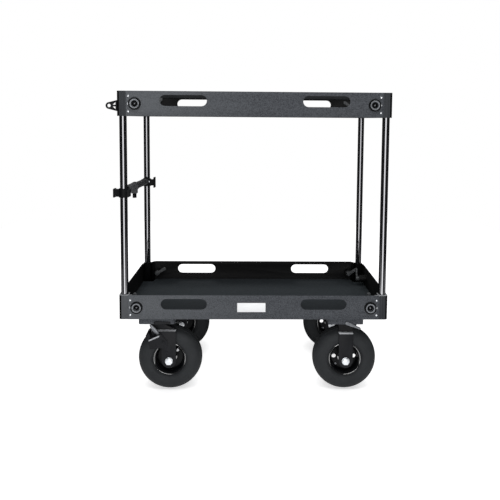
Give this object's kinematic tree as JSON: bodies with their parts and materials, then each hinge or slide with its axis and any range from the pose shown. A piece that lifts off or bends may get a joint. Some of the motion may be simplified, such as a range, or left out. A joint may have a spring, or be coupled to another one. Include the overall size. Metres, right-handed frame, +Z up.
{
  "type": "camera cart",
  "caption": "Two-tray rolling camera cart on tube posts, with hand slots, accessory ports, a height-adjustable push handle, swivel and fixed casters.",
  "frame": {"origin": "on the floor, under the middle of the cart's bounding box", "axes": "+X along the trays, away from the push handle; +Y across the cart, away from the side with the plain label plate; +Z up"},
  "size_m": [1.099, 0.5716, 1.183],
  "materials": {
    "tray_coat": "speckled black powder coat over aluminium",
    "corner_coat": "satin black coat over aluminium",
    "post_gloss": "gloss black paint on tube",
    "mat_rubber": "fine textured rubber sheet",
    "lever_black": "moulded black plastic",
    "block_coat": "black powder coat over aluminium",
    "zinc": "bright zinc plate",
    "caster_steel": "satin black enamel",
    "rim_gloss": "gloss black enamel",
    "tyre_black": "dark grey rubber",
    "label_white": "plain white",
    "handle_black": "moulded black plastic",
    "grip_black": "ribbed black grip"
  },
  "bodies": {
    "cart": {"top_tray": "tray_coat", "top_mat": "mat_rubber", "top_front_left_corner_block": "corner_coat", "top_front_right_corner_block": "corner_coat", "top_back_left_corner_block": "corner_coat", "top_back_right_corner_block": "corner_coat", "bottom_tray": "tray_coat", "bottom_mat": "mat_rubber", "bottom_front_left_corner_block": "corner_coat", "bottom_front_right_corner_block": "corner_coat", "bottom_back_left_corner_block": "corner_coat", "bottom_back_right_corner_block": "corner_coat", "label_plate": "label_white", "front_left_post": "post_gloss", "front_right_post": "post_gloss", "back_left_post": "post_gloss", "back_right_post": "post_gloss", "front_handle_bracket": "tray_coat", "back_handle_bracket": "tray_coat", "front_left_caster_block": "block_coat", "front_left_swivel_head": "caster_steel", "back_left_caster_block": "block_coat", "back_left_swivel_head": "caster_steel", "front_right_caster_block": "block_coat", "front_right_fork": "caster_steel", "front_right_axle": "zinc", "back_right_caster_block": "block_coat", "back_right_fork": "caster_steel", "back_right_axle": "zinc"},
    "top_front_left_lock_lever": {"top_front_left_lock_lever": "lever_black"},
    "top_front_right_lock_lever": {"top_front_right_lock_lever": "lever_black"},
    "top_back_left_lock_lever": {"top_back_left_lock_lever": "lever_black"},
    "top_back_right_lock_lever": {"top_back_right_lock_lever": "lever_black"},
    "bottom_front_left_lock_lever": {"bottom_front_left_lock_lever": "lever_black"},
    "bottom_front_right_lock_lever": {"bottom_front_right_lock_lever": "lever_black"},
    "bottom_back_left_lock_lever": {"bottom_back_left_lock_lever": "lever_black"},
    "bottom_back_right_lock_lever": {"bottom_back_right_lock_lever": "lever_black"},
    "bottom_side_lock_lever": {"bottom_side_lock_lever": "lever_black"},
    "front_left_release_lever": {"front_left_release_lever": "zinc"},
    "front_left_swivel": {"front_left_fork": "caster_steel", "front_left_axle": "zinc"},
    "front_left_brake_lever": {"front_left_brake_lever": "caster_steel"},
    "front_left_wheel": {"front_left_rim": "rim_gloss", "front_left_tyre": "tyre_black"},
    "back_left_release_lever": {"back_left_release_lever": "zinc"},
    "back_left_swivel": {"back_left_fork": "caster_steel", "back_left_axle": "zinc"},
    "back_left_brake_lever": {"back_left_brake_lever": "caster_steel"},
    "back_left_wheel": {"back_left_rim": "rim_gloss", "back_left_tyre": "tyre_black"},
    "front_right_release_lever": {"front_right_release_lever": "zinc"},
    "front_right_wheel": {"front_right_rim": "rim_gloss", "front_right_tyre": "tyre_black"},
    "back_right_release_lever": {"back_right_release_lever": "zinc"},
    "back_right_wheel": {"back_right_rim": "rim_gloss", "back_right_tyre": "tyre_black"},
    "push_handle": {"handle_front_clamp": "handle_black", "handle_back_clamp": "handle_black", "handle_bar": "grip_black"},
    "handle_knob": {"handle_knob": "handle_black"}
  },
  "joints": [
    {"name": "top_front_left_lock_lever_turn", "type": "hinge", "parent": "cart", "child": "top_front_left_lock_lever", "pos_m": [-0.4372, -0.2315, 1.1348], "axis": [0, 1, 0], "range_deg": [-115, 35]},
    {"name": "top_front_right_lock_lever_turn", "type": "hinge", "parent": "cart", "child": "top_front_right_lock_lever", "pos_m": [0.4722, -0.2315, 1.1348], "axis": [0, 1, 0], "range_deg": [-45, 105]},
    {"name": "top_back_left_lock_lever_turn", "type": "hinge", "parent": "cart", "child": "top_back_left_lock_lever", "pos_m": [-0.4372, 0.2315, 1.1348], "axis": [0, 1, 0], "range_deg": [-110, 40]},
    {"name": "top_back_right_lock_lever_turn", "type": "hinge", "parent": "cart", "child": "top_back_right_lock_lever", "pos_m": [0.4722, 0.2315, 1.1348], "axis": [0, 1, 0], "range_deg": [-20, 130]},
    {"name": "bottom_front_left_lock_lever_turn", "type": "hinge", "parent": "cart", "child": "bottom_front_left_lock_lever", "pos_m": [-0.4372, -0.2315, 0.3482], "axis": [0, 1, 0], "range_deg": [-53, 97]},
    {"name": "bottom_front_right_lock_lever_turn", "type": "hinge", "parent": "cart", "child": "bottom_front_right_lock_lever", "pos_m": [0.4722, -0.2315, 0.3482], "axis": [0, 1, 0], "range_deg": [-79, 71]},
    {"name": "bottom_back_left_lock_lever_turn", "type": "hinge", "parent": "cart", "child": "bottom_back_left_lock_lever", "pos_m": [-0.4372, 0.2315, 0.3482], "axis": [0, 1, 0], "range_deg": [-133, 17]},
    {"name": "bottom_back_right_lock_lever_turn", "type": "hinge", "parent": "cart", "child": "bottom_back_right_lock_lever", "pos_m": [0.4722, 0.2315, 0.3482], "axis": [0, 1, 0], "range_deg": [-135, 15]},
    {"name": "bottom_side_lock_lever_turn", "type": "hinge", "parent": "cart", "child": "bottom_side_lock_lever", "pos_m": [0.4995, 0.15, 0.3482], "axis": [-1, 0, 0], "range_deg": [-95, 55]},
    {"name": "front_left_release_lever_turn", "type": "hinge", "parent": "cart", "child": "front_left_release_lever", "pos_m": [-0.3655, -0.268, 0.285], "axis": [0, 1, 0], "range_deg": [-10, 25]},
    {"name": "front_left_swivel_turn", "type": "hinge", "parent": "cart", "child": "front_left_swivel", "pos_m": [-0.3655, -0.202, 0.27], "axis": [0, 0, 1], "continuous": true},
    {"name": "front_left_brake_press", "type": "hinge", "parent": "front_left_swivel", "child": "front_left_brake_lever", "pos_m": [-0.3345, -0.2598, 0.204], "axis": [0, -1, 0], "range_deg": [0, 6]},
    {"name": "front_left_wheel_spin", "type": "hinge", "parent": "front_left_swivel", "child": "front_left_wheel", "pos_m": [-0.3155, -0.202, 0.127], "axis": [0, 1, 0], "continuous": true},
    {"name": "back_left_release_lever_turn", "type": "hinge", "parent": "cart", "child": "back_left_release_lever", "pos_m": [-0.3655, 0.268, 0.285], "axis": [0, 1, 0], "range_deg": [-10, 25]},
    {"name": "back_left_swivel_turn", "type": "hinge", "parent": "cart", "child": "back_left_swivel", "pos_m": [-0.3655, 0.202, 0.27], "axis": [0, 0, 1], "continuous": true},
    {"name": "back_left_brake_press", "type": "hinge", "parent": "back_left_swivel", "child": "back_left_brake_lever", "pos_m": [-0.3345, 0.2598, 0.204], "axis": [0, -1, 0], "range_deg": [0, 6]},
    {"name": "back_left_wheel_spin", "type": "hinge", "parent": "back_left_swivel", "child": "back_left_wheel", "pos_m": [-0.3155, 0.202, 0.127], "axis": [0, 1, 0], "continuous": true},
    {"name": "front_right_release_lever_turn", "type": "hinge", "parent": "cart", "child": "front_right_release_lever", "pos_m": [0.3825, -0.268, 0.285], "axis": [0, 1, 0], "range_deg": [-32, 3]},
    {"name": "front_right_wheel_spin", "type": "hinge", "parent": "cart", "child": "front_right_wheel", "pos_m": [0.3825, -0.202, 0.127], "axis": [0, 1, 0], "continuous": true},
    {"name": "back_right_release_lever_turn", "type": "hinge", "parent": "cart", "child": "back_right_release_lever", "pos_m": [0.3825, 0.268, 0.285], "axis": [0, 1, 0], "range_deg": [-32, 3]},
    {"name": "back_right_wheel_spin", "type": "hinge", "parent": "cart", "child": "back_right_wheel", "pos_m": [0.3825, 0.202, 0.127], "axis": [0, 1, 0], "continuous": true},
    {"name": "handle_height", "type": "slide", "parent": "cart", "child": "push_handle", "axis": [0, 0, 1], "range_m": [-0.3, 0.265]},
    {"name": "handle_knob_turn", "type": "hinge", "parent": "push_handle", "child": "handle_knob", "pos_m": [-0.486, -0.045, 0.768], "axis": [0, 0, -1], "range_deg": [0, 360]}
  ]
}
